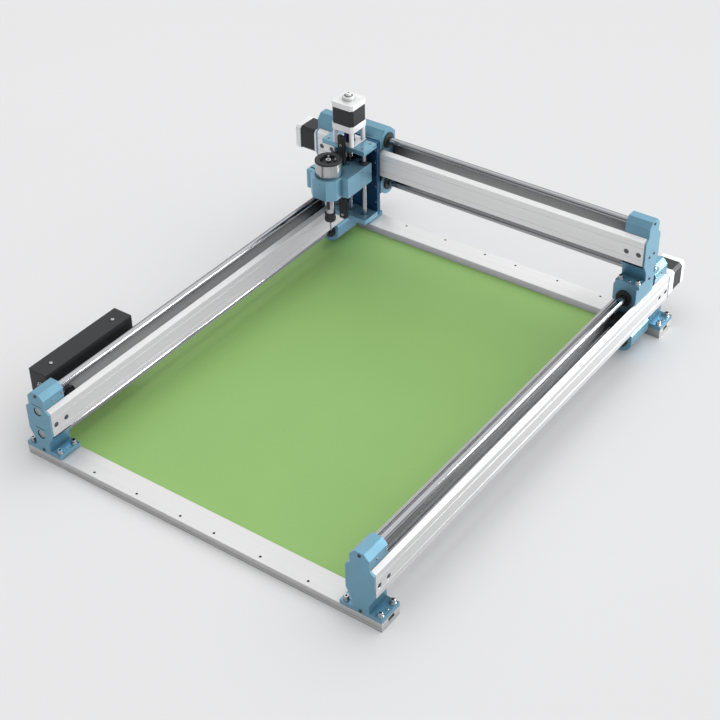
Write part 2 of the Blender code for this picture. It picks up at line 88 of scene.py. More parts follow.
def middle(node):
    """The middle of a node's box in machine millimetres."""
    low, high = span(node)
    return (low + high) / 2


# ---------------------------------------------------------------- materials

class Graph:
    """Short forms for building one node material."""

    def __init__(self, name):
        self.mat = bpy.data.materials.new(name)
        self.mat.use_nodes = True
        self.tree = self.mat.node_tree
        self.shader = self.tree.nodes["Principled BSDF"]

    def node(self, kind, **inputs):
        made = self.tree.nodes.new(kind)
        for key, value in inputs.items():
            made.inputs[key.replace("_", " ")].default_value = value
        return made

    def link(self, source, target):
        self.tree.links.new(source, target)

    def place(self, scale):
        """Object coordinates stretched by a scale per axis, per metre."""
        coords = self.node("ShaderNodeTexCoord")
        mapping = self.node("ShaderNodeMapping", Scale=scale)
        self.link(coords.outputs["Object"], mapping.inputs["Vector"])
        return mapping.outputs["Vector"]

    def noise(self, scale, detail=3.0, rough=0.55):
        made = self.node("ShaderNodeTexNoise", Scale=1.0, Detail=detail, Roughness=rough)
        self.link(self.place(scale), made.inputs["Vector"])
        return made.outputs["Fac"]

    def bands(self, scale, direction):
        """Saw-tooth bands across one axis."""
        made = self.node("ShaderNodeTexWave", Scale=1.0, Distortion=0.0)
        made.wave_type = "BANDS"
        made.bands_direction = direction
        made.wave_profile = "SAW"
        self.link(self.place(scale), made.inputs["Vector"])
        return made.outputs["Fac"]

    def ramp(self, factor, stops):
        made = self.node("ShaderNodeValToRGB")
        line = made.color_ramp
        while len(line.elements) < len(stops):
            line.elements.new(0.5)
        for element, (at, colour) in zip(line.elements, stops):
            element.position = at
            element.color = (*colour, 1.0)
        self.link(factor, made.inputs["Fac"])
        return made.outputs["Color"]

    def spread(self, factor, low, high):
        """An output from 0 to 1 taken to another range."""
        made = self.node("ShaderNodeMapRange")
        made.inputs["To Min"].default_value = low
        made.inputs["To Max"].default_value = high
        self.link(factor, made.inputs["Value"])
        return made.outputs["Result"]

    def toward(self, factor, a, colour):
        """One colour output taken toward a plain colour by a factor's output."""
        made = self.tree.nodes.new("ShaderNodeMix")
        made.data_type = "RGBA"
        self.link(factor, made.inputs["Factor"])
        self.link(a, made.inputs["A"])
        made.inputs["B"].default_value = (*colour, 1.0)
        return made.outputs["Result"]

    def blend(self, share, a, b, kind="MIX"):
        """Two colour outputs put together in a fixed proportion."""
        made = self.tree.nodes.new("ShaderNodeMix")
        made.data_type = "RGBA"
        made.blend_type = kind
        made.inputs["Factor"].default_value = share
        self.link(a, made.inputs["A"])
        self.link(b, made.inputs["B"])
        return made.outputs["Result"]

    def edge_wear_and_highlight(self, radius):
        """1 on the sharp outer edges, fading to 0 on flat faces; the mask for paler edges that are partly
        wear and partly painted highlight.
        """
        bevel = self.tree.nodes.new("ShaderNodeBevel")
        bevel.samples = 4
        bevel.inputs["Radius"].default_value = radius
        geo = self.tree.nodes.new("ShaderNodeNewGeometry")
        dot = self.tree.nodes.new("ShaderNodeVectorMath")
        dot.operation = "DOT_PRODUCT"
        self.link(bevel.outputs["Normal"], dot.inputs[0])
        self.link(geo.outputs["True Normal"], dot.inputs[1])
        made = self.node("ShaderNodeMapRange")
        made.inputs["From Min"].default_value = 0.98
        made.inputs["From Max"].default_value = 0.72
        self.link(dot.outputs["Value"], made.inputs["Value"])
        return made.outputs["Result"]

    def painted_hollow_shade(self, colour, reach=0.014, darkest=0.22):
        """Painted shade: darker colour down in slots and holes, where little light gets in."""
        hidden = self.node("ShaderNodeAmbientOcclusion", Distance=reach)
        hidden.samples = 6
        dimmed = self.ramp(hidden.outputs["AO"], [(0.10, (darkest,) * 3), (0.85, (1.0, 1.0, 1.0))])
        return self.blend(1.0, colour, dimmed, "MULTIPLY")

    def bump(self, height, strength, distance=0.0002):
        made = self.node("ShaderNodeBump", Strength=strength, Distance=distance)
        self.link(height, made.inputs["Height"])
        self.link(made.outputs["Normal"], self.shader.inputs["Normal"])

    def finish(self, colour, rough, metal, **sockets):
        self.link(colour, self.shader.inputs["Base Color"])
        self.link(rough, self.shader.inputs["Roughness"])
        self.shader.inputs["Metallic"].default_value = metal
        for key, value in sockets.items():
            self.shader.inputs[key.replace("_", " ")].default_value = value
        return self.mat


def shade(colour, k):
    """A colour made darker or lighter by a factor."""
    return tuple(min(1.0, c * k) for c in colour)


def anodised(name, colour, metal=0.60, rough=(0.24, 0.36), edge=None):
    """Bead-blasted anodised aluminium: fine sparkle, soft mottling, paler edges that are partly wear and
    partly painted highlight, and painted shade down in hollows.
    """
    g = Graph(name)
    cloud = g.noise((34, 34, 34), 2.0)
    grain = g.noise((2600, 2600, 2600), 2.0)
    base = g.ramp(cloud, [(0.3, shade(colour, 0.93)), (0.7, shade(colour, 1.07))])
    speck = g.ramp(grain, [(0.35, shade(colour, 0.86)), (0.65, shade(colour, 1.12))])
    # paler edges: partly wear, partly painted highlight
    edges = g.spread(g.edge_wear_and_highlight(0.0007), 0.0, 0.55)
    tint = g.toward(edges, g.blend(0.35, base, speck), edge or shade(colour, 1.7))
    g.bump(grain, 0.10, 0.00005)
    return g.finish(g.painted_hollow_shade(tint), g.spread(cloud, *rough), metal, Specular_IOR_Level=0.5)


def brushed(name, colour, along, metal=0.55, rough=(0.30, 0.46), line=0.05):
    """Drawn metal: die lines and brushing along one axis, with painted shade down in hollows; line is how
    far they lighten and darken. A large line, as on the spindle can, paints bold streaks that stand in for
    mirrored surroundings: painted reflection.
    """
    fine = [1500.0, 1500.0, 1500.0]
    wide = [130.0, 130.0, 130.0]
    fine[along] = 5.0
    wide[along] = 1.2
    g = Graph(name)
    streak = g.noise(tuple(fine), 4.0, 0.6)
    band = g.noise(tuple(wide), 2.0)
    base = g.ramp(streak, [(0.3, shade(colour, 1 - line)), (0.7, shade(colour, 1 + line))])
    soft = g.ramp(band, [(0.3, shade(colour, 0.95)), (0.7, shade(colour, 1.05))])
    g.bump(streak, 0.12, 0.00006)
    return g.finish(g.painted_hollow_shade(g.blend(0.45, base, soft), 0.040, 0.13), g.spread(streak, *rough), metal)


def ground(name, colour, scale, rough=(0.07, 0.16)):
    """Ground and polished steel: fine rings or lines across the scale's dense axes, with painted shade down
    in hollows.
    """
    g = Graph(name)
    line = g.noise(scale, 3.0, 0.6)
    smear = g.noise((22, 22, 22), 2.0)
    base = g.ramp(line, [(0.3, shade(colour, 0.92)), (0.7, shade(colour, 1.06))])
    g.bump(line, 0.05, 0.00003)
    return g.finish(g.painted_hollow_shade(base, 0.010, 0.30), g.spread(smear, *rough), 1.0)


def moulded(name, colour, rough=(0.38, 0.52), grain=900):
    """Moulded or powder-coated black: fine pebble and faint dust-like mottling."""
    g = Graph(name)
    pebble = g.noise((grain, grain, grain), 2.0)
    cloud = g.noise((18, 18, 18), 3.0)
    base = g.ramp(cloud, [(0.3, shade(colour, 0.85)), (0.7, shade(colour, 1.25))])
    # paler edges: partly wear, partly painted highlight
    tint = g.toward(g.spread(g.edge_wear_and_highlight(0.0005), 0.0, 0.5), base, shade(colour, 3.0))
    g.bump(pebble, 0.16, 0.00012)
    return g.finish(tint, g.spread(pebble, *rough), 0.0)


# the wave texture repeats every 2 pi / 20 units, so this gives a line each millimetre
LAMINATION_SCALE = 314.0


def laminated(name, along):
    """Painted steel laminations, seen as faint lines round the stack."""
    scale = [1.0, 1.0, 1.0]
    scale[along] = LAMINATION_SCALE
    g = Graph(name)
    line = g.bands(tuple(scale), "XYZ"[along])
    dust = g.noise((160, 160, 160), 3.0)
    base = g.ramp(line, [(0.0, (0.011, 0.0115, 0.013)), (0.5, (0.022, 0.023, 0.025)),
                         (1.0, (0.014, 0.015, 0.016))])
    g.bump(line, 0.30, 0.00008)
    return g.finish(base, g.spread(dust, 0.36, 0.50), 0.15)


def board_paint(name):
    """Satin green board with a fine fibre texture."""
    g = Graph(name)
    fibre = g.noise((700, 160, 700), 3.0)
    cloud = g.noise((7, 7, 7), 2.0)
    base = g.ramp(cloud, [(0.3, (0.276, 0.490, 0.140)), (0.7, (0.296, 0.518, 0.153))])
    speck = g.ramp(fibre, [(0.3, (0.270, 0.478, 0.136)), (0.7, (0.302, 0.528, 0.158))])
    g.bump(fibre, 0.08, 0.00005)
    return g.finish(g.blend(0.4, base, speck), g.spread(fibre, 0.55, 0.68), 0.0)


SILVER = (0.61, 0.61, 0.61)
BRIGHT_SILVER = (0.90, 0.90, 0.895)
STEEL = (0.55, 0.56, 0.58)
ROD_STEEL = (0.36, 0.365, 0.38)
ALL_ROUND = (900, 900, 900)
MATS = {
    "blue": anodised("blue_anodised", (0.158, 0.335, 0.445)),
    "pale_blue": anodised("pale_blue_anodised", (0.200, 0.405, 0.525)),
    "navy": anodised("dark_blue_anodised", (0.014, 0.075, 0.170), 0.55, (0.22, 0.34),
                     (0.10, 0.28, 0.46)),
    "purple": anodised("purple_anodised", (0.060, 0.035, 0.200), 0.7, (0.20, 0.32),
                       (0.28, 0.24, 0.5)),
    "alu_x": brushed("aluminium_along_x", BRIGHT_SILVER, 0, 0.35),
    "alu_low": brushed("crossmember_aluminium", (0.68, 0.68, 0.675), 0, 0.50),
    "alu_y": brushed("aluminium_along_y", SILVER, 1),
    "cast": anodised("cast_aluminium", (0.84, 0.845, 0.84), 0.45, (0.28, 0.40), (0.92, 0.92, 0.92)),
    # painted reflection: line 0.30 gives the spindle can and the collet body bold streaks in place of
    # mirrored surroundings
    "can": brushed("spindle_can_steel", (0.46, 0.46, 0.47), 2, 1.0, (0.12, 0.24), 0.30),
    "rod_x": ground("ground_rod_x", ROD_STEEL, (40, 2400, 2400)),
    "rod_y": ground("ground_rod_y", ROD_STEEL, (2400, 40, 2400)),
    "rod_z": ground("ground_rod_z", ROD_STEEL, (2400, 2400, 40)),
    "steel": ground("machined_steel", STEEL, (1800, 1800, 1800), (0.16, 0.30)),
    "screw": ground("screw_steel", (0.46, 0.47, 0.48), ALL_ROUND, (0.16, 0.28)),
    "set_screw": ground("black_set_screw", (0.13, 0.13, 0.14), ALL_ROUND, (0.20, 0.32)),
    "dark": ground("blackened_steel", (0.055, 0.056, 0.060), ALL_ROUND, (0.26, 0.40)),
    "black": moulded("black_plastic", (0.010, 0.0105, 0.0115)),
    "sheet": moulded("black_powder_coat", (0.013, 0.0135, 0.015), (0.46, 0.60), 1500),
    "stack_x": laminated("laminations_x", 0),
    "stack_y": laminated("laminations_y", 1),
    "stack_z": laminated("laminations_z", 2),
    "green": board_paint("green_board"),
}


# ---------------------------------------------------------------- mesh helpers

def axis_matrix(direction):
    """Rotation that takes +Z to a direction."""
    return Vector((0, 0, 1)).rotation_difference(Vector(direction)).to_matrix().to_4x4()


def skin(bm, rings, caps=True):
    """Tube through equal rings of points, closed by end caps or by joining the last ring to the first."""
    loops = [[bm.verts.new(p) for p in ring] for ring in rings]
    count = len(loops[0])
    for low, high in zip(loops, loops[1:]):
        for k in range(count):
            n = (k + 1) % count
            bm.faces.new((low[k], low[n], high[n], high[k]))
    if caps:
        bm.faces.new(list(reversed(loops[0])))
        bm.faces.new(loops[-1])
    else:
        for k in range(count):
            n = (k + 1) % count
            bm.faces.new((loops[-1][k], loops[-1][n], loops[0][n], loops[0][k]))


def turned(bm, at, direction, profile, sides=32, hollow=False):
    """Turned shape at a point in machine mm; the profile lists (height, radius)."""
    turn = axis_matrix(direction)
    base = Vector(at)
    rings = []
    for height, radius in profile:
        ring = []
        for k in range(sides):
            a = TAU * k / sides
            ring.append(base + turn @ Vector((radius * math.cos(a), radius * math.sin(a), height)))
        rings.append(ring)
    skin(bm, rings, not hollow)


def hexed(k, sides, flat):
    """Distance to a hexagon's edge at point k of a ring, for half the distance across its flats."""
    a = (360.0 * k / sides) % 60.0 - 30.0
    return flat / math.cos(math.radians(a))


# screw heads in mm: radius, height above the face, half the socket's flats, socket's depth
HEADS = {
    "flange": (3.75, 5.95, 1.5, 2.7),
    "flange_middle": (2.4, 0.9, 1.1, 0.7),
    "block_side": (1.7, 0.5, 0.85, 0.45),
    "block_face": (2.7, 0.8, 1.35, 0.75),
    "block_cross": (2.4, 0.7, 1.2, 0.65),
    "countersunk": (4.1, 0.4, 1.5, 0.36),
    "motor_corner": (1.9, 0.35, 0.9, 0.3),
    "plate_edge": (2.0, 0.7, 0.95, 0.6),
    "plate_back": (1.9, 0.25, 0.9, 0.2),
    "top_plate": (2.4, 1.0, 1.15, 0.8),
    "plate_end": (1.7, 0.35, 0.85, 0.3),
    "limit_bar": (2.6, 0.5, 1.2, 0.45),
    "slider_side": (2.0, 0.4, 0.9, 0.35),
    "slider_top": (1.7, 0.6, 0.8, 0.5),
    "nut_flange": (1.2, 0.8, 0.6, 0.6),
    "clamp_side": (2.8, 2.6, 1.35, 1.6),
    "clamp_top": (1.7, 0.5, 0.8, 0.45),
    "box_lid": (2.9, 1.45, 1.2, 0.25),
}


def socket_head(bm, at, direction, head, skirt=0.0, sides=24):
    """Screw head with a chamfered rim and a hexagon socket, standing on a face; skirt goes below it."""
    radius, height, flat, depth = HEADS[head]
    turn = axis_matrix(direction)
    base = Vector(at)
    soft = min(0.5, radius * 0.12)
    stations = [(-skirt, radius), (height - soft, radius), (height, radius - soft)]
    rings = []
    for z, r in stations:
        rings.append([(z, r)] * sides)
    rim = [(height, hexed(k, sides, flat)) for k in range(sides)]
    foot = [(height - depth, hexed(k, sides, flat)) for k in range(sides)]
    rings += [rim, foot]
    points = []
    for ring in rings:
        row = []
        for k, (z, r) in enumerate(ring):
            a = TAU * k / sides
            row.append(base + turn @ Vector((r * math.cos(a), r * math.sin(a), z)))
        points.append(row)
    skin(bm, points)


def washer(bm, at, direction, radius, height, hole):
    """Flat washer with its upper rim rounded off."""
    soft = height * 0.3
    turned(bm, at, direction, [(0, hole), (0, radius), (height - soft, radius), (height, radius - soft),
                               (height, hole)], 28, True)


def slab(bm, low, high, corner, axis):
    """Block with its four corners along one axis cut off."""
    u, v = [i for i in range(3) if i != axis]
    c = corner
    outline = [(low[u] + c, low[v]), (high[u] - c, low[v]), (high[u], low[v] + c), (high[u], high[v] - c),
               (high[u] - c, high[v]), (low[u] + c, high[v]), (low[u], high[v] - c), (low[u], low[v] + c)]
    rings = []
    for t in (low[axis], high[axis]):
        ring = []
        for a, b in outline:
            p = [0.0, 0.0, 0.0]
            p[u], p[v], p[axis] = a, b, t
            ring.append(Vector(p))
        rings.append(ring)
    skin(bm, rings)


def twisted(bm, at, direction, section, start, end, lead, step, hand=1):
    """Section (radius by angle) swept along an axis and turned once for each lead."""
    turn = axis_matrix(direction)
    base = Vector(at)
    count = max(2, int(round((end - start) / step)))
    rings = []
    for i in range(count + 1):
        z = start + (end - start) * i / count
        spin = hand * TAU * z / lead
        ring = []
        for a, r in section:
            ring.append(base + turn @ Vector((r * math.cos(a + spin), r * math.sin(a + spin), z)))
        rings.append(ring)
    skin(bm, rings)


WIRE_SIDES = 8
STEPS_PER_TURN = 20


def coil(bm, at, direction, radius, wire, start, end, turns):
    """Closed helical wire."""
    turn = axis_matrix(direction)
    base = Vector(at)
    rings = []
    count = int(turns * STEPS_PER_TURN)
    for i in range(count + 1):
        a = TAU * turns * i / count
        z = start + (end - start) * i / count
        out = Vector((math.cos(a), math.sin(a), 0))
        ring = []
        for k in range(WIRE_SIDES):
            b = TAU * k / WIRE_SIDES
            spot = out * (radius + wire * math.cos(b)) + Vector((0, 0, z + wire * math.sin(b)))
            ring.append(base + turn @ spot)
        rings.append(ring)
    skin(bm, rings)


EDGE_ANGLE = math.radians(34)


def bevelled(obj, width):
    """Small rounded edges, with a width in mm, where two faces meet at more than EDGE_ANGLE."""
    mod = obj.modifiers.new("soft_edges", "BEVEL")
    mod.width = width * MM
    mod.segments = 2
    mod.limit_method = "ANGLE"
    mod.angle_limit = EDGE_ANGLE
    mod.harden_normals = True
    mod.use_clamp_overlap = True


def piece(name, bm, body, look, soft=0.0, replaces=()):
    """Finish a piece given in machine mm, and let it ride on its body."""
    bmesh.ops.recalc_face_normals(bm, faces=bm.faces)
    for vert in bm.verts:
        vert.co = ZERO + vert.co * MM
    mesh = bpy.data.meshes.new(name)
    bm.to_mesh(mesh)
    bm.free()
    obj = bpy.data.objects.new(name, mesh)
    bpy.context.scene.collection.objects.link(obj)
    mesh.materials.append(MATS[look])
    mesh.shade_smooth()
    mesh.set_sharp_from_angle(angle=EDGE_ANGLE)
    if soft:
        bevelled(obj, soft)
    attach(obj, body)
    if replaces:
        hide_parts(*replaces)


# ---------------------------------------------------------------- CAD nodes that stay

WELD_DISTANCE = 0.00001


def dress(node, look, soft):
    """Give a CAD node its material and small rounded edges; with none it is shaded flat."""
    obj = NODES[node]
    mesh = obj.data
    extra = mesh.attributes.get("custom_normal")
    if extra:
        mesh.attributes.remove(extra)
    mesh.materials.clear()
    mesh.materials.append(MATS[look])
    for face in mesh.polygons:
        face.use_smooth = soft > 0
        face.material_index = 0
    weld = obj.modifiers.new("weld", "WELD")
    weld.merge_threshold = WELD_DISTANCE
    if soft:
        bevelled(obj, soft)


def dress_all():
    for node in ("block_front_left", "block_front_right", "block_rear_left", "block_rear_right",
                 "gantry_block_left", "gantry_block_right", "gantry_slider_left",
                 "gantry_slider_right", "x_slider"):
        dress(node, "blue", 0.5)
    for node in ("z_top_plate", "z_bottom_plate", "z_slider", "spindle_clamp"):
        dress(node, "pale_blue", 0.4)
    dress("z_back_plate", "navy", 0.5)
    for node in ("front_crossmember", "rear_crossmember"):
        dress(node, "alu_low", 0.0)
    dress("beam_front_wall", "alu_x", 0.12)
    dress("beam_rear_wall", "alu_low", 0.12)
    for tag in ("left", "right"):
        for side in ("outer", "inner"):
            dress(f"rail_{tag}_{side}_wall", "alu_y", 0.12)
        for level in ("upper", "lower"):
            dress(f"y_rod_{tag}_{level}", "rod_y", 0.4)
            dress(f"y_bearing_{tag}_{level}", "black", 0.3)
        dress(f"y_nut_{tag}", "black", 0.3)
        dress(f"y_screw_bearing_{tag}", "steel", 0.3)
        dress(f"z_rod_{tag}", "rod_z", 0.3)
    for level in ("upper", "lower"):
        dress(f"x_rod_{level}", "rod_x", 0.4)
        dress(f"x_bearing_{level}", "black", 0.3)
    dress("x_nut", "black", 0.3)
    dress("x_screw_bearing", "steel", 0.3)
    dress("z_motor_mount", "cast", 0.3)
    dress("z_limit_bar", "black", 0.4)
    dress("control_box_case", "sheet", 0.5)
    dress("control_box_lid", "sheet", 0.4)
    dress("y_limit_switch", "black", 0.3)
    dress("work_board", "green", 0.4)
    board = NODES["work_board"]
    board.visible_glossy = False
    board.visible_diffuse = False
    board.visible_shadow = False


# ---------------------------------------------------------------- rail end blocks

# mm from a block's middle, its outer face and its foot; walls start BLOCK_PLATE + GAP behind that face
BLOCK_PLATE = 3.0
GAP = 0.3
SINK_INSETS = (11.5, 31.7)
SINK_HEIGHT = 54.0
SINK_DEPTH = 0.55
BLOCK_FACE_SCREWS = (4.8, 101.8)
BLOCK_SIDE_SCREWS = (17.2, 37.0)
FLANGE_SCREWS = (6.0, 34.0)
FLANGE_REACH = 26.5
FLANGE_TOP = 7.0
# radius, height and hole
WASHER = (4.9, 0.8, 3.8)
SPRING_WASHER = (4.3, 1.0, 3.8)
WASHER_STEP = 0.9
BLOCK_HALF = 15.4
SIDE_SCREW_HEIGHT = 91.0
CROSS_SCREW = (7.4, 46.5)
WALL_TOP = 82.0
PORT_HEIGHTS = (33.0, 74.4)
PORT_DEPTH = 2.4
PORT_DISC = [(0, 6.4), (0.6, 6.8), (1.2, 6.4), (1.7, 5.4), (1.9, 3.2), (1.2, 2.8), (1.2, 1.2)]


def block_fittings(node, body, outward, ported=False, crossed=False, set_screws=True):
    """Screws on one end block; outward is the unit direction of its outer face in plan.

    ported adds a disc in each of the face's two ports, crossed two more screws on the face.
    """
    low, high = span(node)
    out = Vector(outward)
    across = Vector((-out.y, out.x, 0))
    centre = (low + high) / 2
    reach = abs(out.dot(high - low)) / 2
    face = Vector((centre.x, centre.y, low.z)) + out * reach

    def at(u, inset, z):
        return face + across * u - out * inset + Vector((0, 0, z))

    up = (0, 0, 1)
    heads = bmesh.new()
    rings = bmesh.new()
    for side in (-1, 1):
        for inset in FLANGE_SCREWS:
            socket_head(heads, at(side * FLANGE_REACH, inset, FLANGE_TOP), up, "flange")
            washer(rings, at(side * FLANGE_REACH, inset, FLANGE_TOP), up, *WASHER)
            washer(rings, at(side * FLANGE_REACH, inset, FLANGE_TOP + WASHER_STEP), up, *SPRING_WASHER)
        socket_head(heads, at(side * (FLANGE_REACH + 1.0), 20.0, FLANGE_TOP), up, "flange_middle")
        for inset in BLOCK_SIDE_SCREWS if set_screws else ():
            socket_head(heads, at(side * BLOCK_HALF, inset, SIDE_SCREW_HEIGHT), across * side, "block_side")
    piece(node + "_cap_screws", heads, body, "screw")
    piece(node + "_washers", rings, body, "steel")
    marks = bmesh.new()
    for z in BLOCK_FACE_SCREWS:
        socket_head(marks, at(0, 0, z), out, "block_face")
    if crossed:
        for u in (-CROSS_SCREW[0], CROSS_SCREW[0]):
            socket_head(marks, at(u, 0, CROSS_SCREW[1]), out, "block_cross")
    piece(node + "_face_screws", marks, body, "set_screw")
    if ported:
        domes = bmesh.new()
        for z in PORT_HEIGHTS:
            turned(domes, at(0, PORT_DEPTH, z), out, PORT_DISC, 36)
        piece(node + "_port_discs", domes, body, "rod_y")


def countersunk(node, body, along, side):
    """The four flat screws of one wall, seated in its countersinks."""
    low, high = span(node)
    bm = bmesh.new()
    base = high.z - WALL_TOP
    for inset in SINK_INSETS:
        reach = inset - BLOCK_PLATE - GAP
        for t in (low[along] + reach, high[along] - reach):
            if along == 1:
                face = high.x if side > 0 else low.x
                spot, out = Vector((face - side * SINK_DEPTH, t, base + SINK_HEIGHT)), (side, 0, 0)
            else:
                face = high.y if side > 0 else low.y
                spot, out = Vector((t, face - side * SINK_DEPTH, base + SINK_HEIGHT)), (0, side, 0)
            socket_head(bm, spot, out, "countersunk", 1.0)
    piece(node + "_flat_screws", bm, body, "set_screw")


def fittings():
    block_fittings("block_front_left", "base", (0, -1, 0), ported=True)
    block_fittings("block_front_right", "base", (0, -1, 0))
    block_fittings("block_rear_left", "base", (0, 1, 0))
    block_fittings("block_rear_right", "base", (0, 1, 0))
    block_fittings("gantry_block_left", "gantry", (-1, 0, 0), set_screws=False)
    block_fittings("gantry_block_right", "gantry", (1, 0, 0), crossed=True, set_screws=False)
    countersunk("rail_left_outer_wall", "base", 1, -1)
    countersunk("rail_left_inner_wall", "base", 1, 1)
    countersunk("rail_right_inner_wall", "base", 1, -1)
    countersunk("rail_right_outer_wall", "base", 1, 1)
    countersunk("beam_front_wall", "gantry", 0, -1)
    countersunk("beam_rear_wall", "gantry", 0, 1)


# ---------------------------------------------------------------- motors

MOTOR_HALF = 21.15
CORNER = 4.2
CORNER_SCREWS = 15.5
# turned profiles here and below: (height, radius) in mm
END_RING = [(-0.5, 5.6), (0.2, 5.6), (0.4, 5.2), (0.4, 3.2), (0.15, 3.0)]
KNOB = [(-1.0, 9.7), (5.3, 9.7), (6.0, 9.0), (6.0, 7.2), (4.2, 6.6), (4.2, 4.8), (10.1, 4.8),
        (10.7, 4.2), (10.7, 1.6), (8.4, 1.6)]
# lengths of the bell, the stack and the cap
Y_MOTOR = (18.6, 26.2, 9.2)
X_MOTOR = (4.7, 28.6, 9.6)
Z_MOTOR = (11.5, 28.2, 9.6)


def motor(node, body, out, lengths, knob=False):
    """Stepper motor: cast bell, laminated stack and cast cap, with corner screws or a knob on its end."""
    low, high = span(node)
    axis = [abs(c) for c in out].index(1)
    sign = out[axis]
    start = low[axis] if sign > 0 else high[axis]
    centre = (low + high) / 2

    def extent(a, b, half):
        """Box from a to b along the motor, and half to each side of its middle."""
        lo, hi = Vector(centre), Vector(centre)
        for i in range(3):
            if i == axis:
                lo[i], hi[i] = sorted((start + sign * a, start + sign * b))
            else:
                lo[i], hi[i] = centre[i] - half, centre[i] + half
        return lo, hi

    bell, stack, cap = lengths
    mid = bell + stack
    top = mid + cap
    shell = bmesh.new()
    slab(shell, *extent(0, bell, MOTOR_HALF), CORNER, axis)
    slab(shell, *extent(mid, top, MOTOR_HALF), CORNER, axis)
    piece(node + "_covers", shell, body, "cast", 0.7)
    core = bmesh.new()
    slab(core, *extent(bell - 0.2, mid + 0.2, MOTOR_HALF - 0.45), CORNER + 0.9, axis)
    piece(node + "_stack", core, body, "stack_" + "xyz"[axis], 0.3, [node])
    u, v = [i for i in range(3) if i != axis]
    end = Vector(centre)
    end[axis] = start + sign * top
    pins = bmesh.new()
    if knob:
        turned(pins, end, out, KNOB, 40)
    else:
        for su in (-1, 1):
            for sv in (-1, 1):
                spot = Vector(end)
                spot[u] += su * CORNER_SCREWS
                spot[v] += sv * CORNER_SCREWS
                socket_head(pins, spot, out, "motor_corner")
        turned(pins, end, out, END_RING, 36)
    piece(node + "_end_fittings", pins, body, "cast" if knob else "dark")
    if axis == 1:
        lo, hi = extent(mid + 1.0, top - 1.2, 7.5)
        lo.z = centre.z - MOTOR_HALF - 3.2
        hi.z = centre.z - MOTOR_HALF + 1.0
        socket = bmesh.new()
        slab(socket, lo, hi, 0.8, 1)
        piece(node + "_socket", socket, body, "black", 0.3)


def motors():
    motor("y_motor_left", "base", (0, 1, 0), Y_MOTOR)
    motor("y_motor_right", "base", (0, 1, 0), Y_MOTOR)
    motor("x_motor", "gantry", (-1, 0, 0), X_MOTOR)
    motor("z_motor", "x_carriage", (0, 0, 1), Z_MOTOR, True)


# ---------------------------------------------------------------- lead screws

THREAD_ROOT = 3.35
THREAD_CREST = 4.0
SHAFT_LENGTH = 12.0
COUPLING_REACH = 22.0


def thread_section(starts):
    """Trapezoid thread as radius by angle, four points a start."""
    section = []
    for s in range(starts):
        base = TAU * s / starts
        wide = TAU / starts
        for part, radius in ((0.06, THREAD_ROOT), (0.38, THREAD_ROOT),
                             (0.56, THREAD_CREST), (0.88, THREAD_CREST)):
            section.append((base + wide * part, radius))
    return section


def lead_screw(node, body, axis, far_sign, lead, starts, step, coupling):
    """Threaded screw with its coupling at the motor end."""
    low, high = span(node)
    centre = (low + high) / 2
    direction = [0, 0, 0]
    direction[axis] = far_sign
    tail = low[axis] if far_sign > 0 else high[axis]
    length = high[axis] - low[axis]
    face = length - SHAFT_LENGTH
    near = face - COUPLING_REACH
    spot = Vector(centre)
    spot[axis] = tail
    bm = bmesh.new()
    turned(bm, spot, direction, [(0, 3.0), (0.6, 3.4), (3.0, 3.4), (3.0, 3.2)], 24)
    twisted(bm, spot, direction, thread_section(starts), 1.0, near + 1.0, lead, step, far_sign)
    turned(bm, spot, direction, [(face - 3.0, 2.5), (length - 0.3, 2.5), (length, 2.2)], 24)
    piece(node + "_thread", bm, body, "steel", 0.0, [node])
    hub = bmesh.new()
    mid = (near + face - 2.0) / 2
    end = face - 2.0
    outline = [(near, 2.6), (near, 8.0), (near + 0.6, 8.6), (mid - 1.6, 8.6), (mid - 1.6, 7.9),
               (mid - 0.9, 7.9), (mid - 0.9, 8.6), (mid + 0.9, 8.6), (mid + 0.9, 7.9),
               (mid + 1.6, 7.9), (mid + 1.6, 8.6), (end - 0.6, 8.6), (end, 8.0), (end, 2.6)]
    turned(hub, spot, direction, outline, 40, True)
    piece(node + "_coupling", hub, body, coupling)


def lead_screws():
    lead_screw("y_screw_left", "y_screw_left_body", 1, 1, 8.0, 4, 1.0, "cast")
    lead_screw("y_screw_right", "y_screw_right_body", 1, 1, 8.0, 4, 1.0, "cast")
    lead_screw("x_screw", "x_screw_body", 0, -1, 8.0, 4, 1.0, "cast")
    lead_screw("z_screw", "z_screw_body", 2, 1, 4.0, 2, 0.4, "purple")


# ---------------------------------------------------------------- Z axis details

# screw heights above the crossmembers' tops, at rest
EDGE_SCREWS = (106.0, 135.5, 180.5, 203.0)
BACK_SCREWS = (95.0, 150.0, 205.0)
BAR_SCREWS = (219.5, 90.0)
TOP_SEAL = [(0.05, 4.35), (0.05, 8.2), (2.2, 8.2), (2.9, 7.5), (2.9, 6.2), (3.6, 5.6), (3.6, 4.35)]
FOOT_SEAL = [(0.05, 4.35), (0.05, 7.6), (1.4, 7.6), (2.0, 7.0), (2.0, 4.35)]
NUT_FLANGE_TOP = 3.8


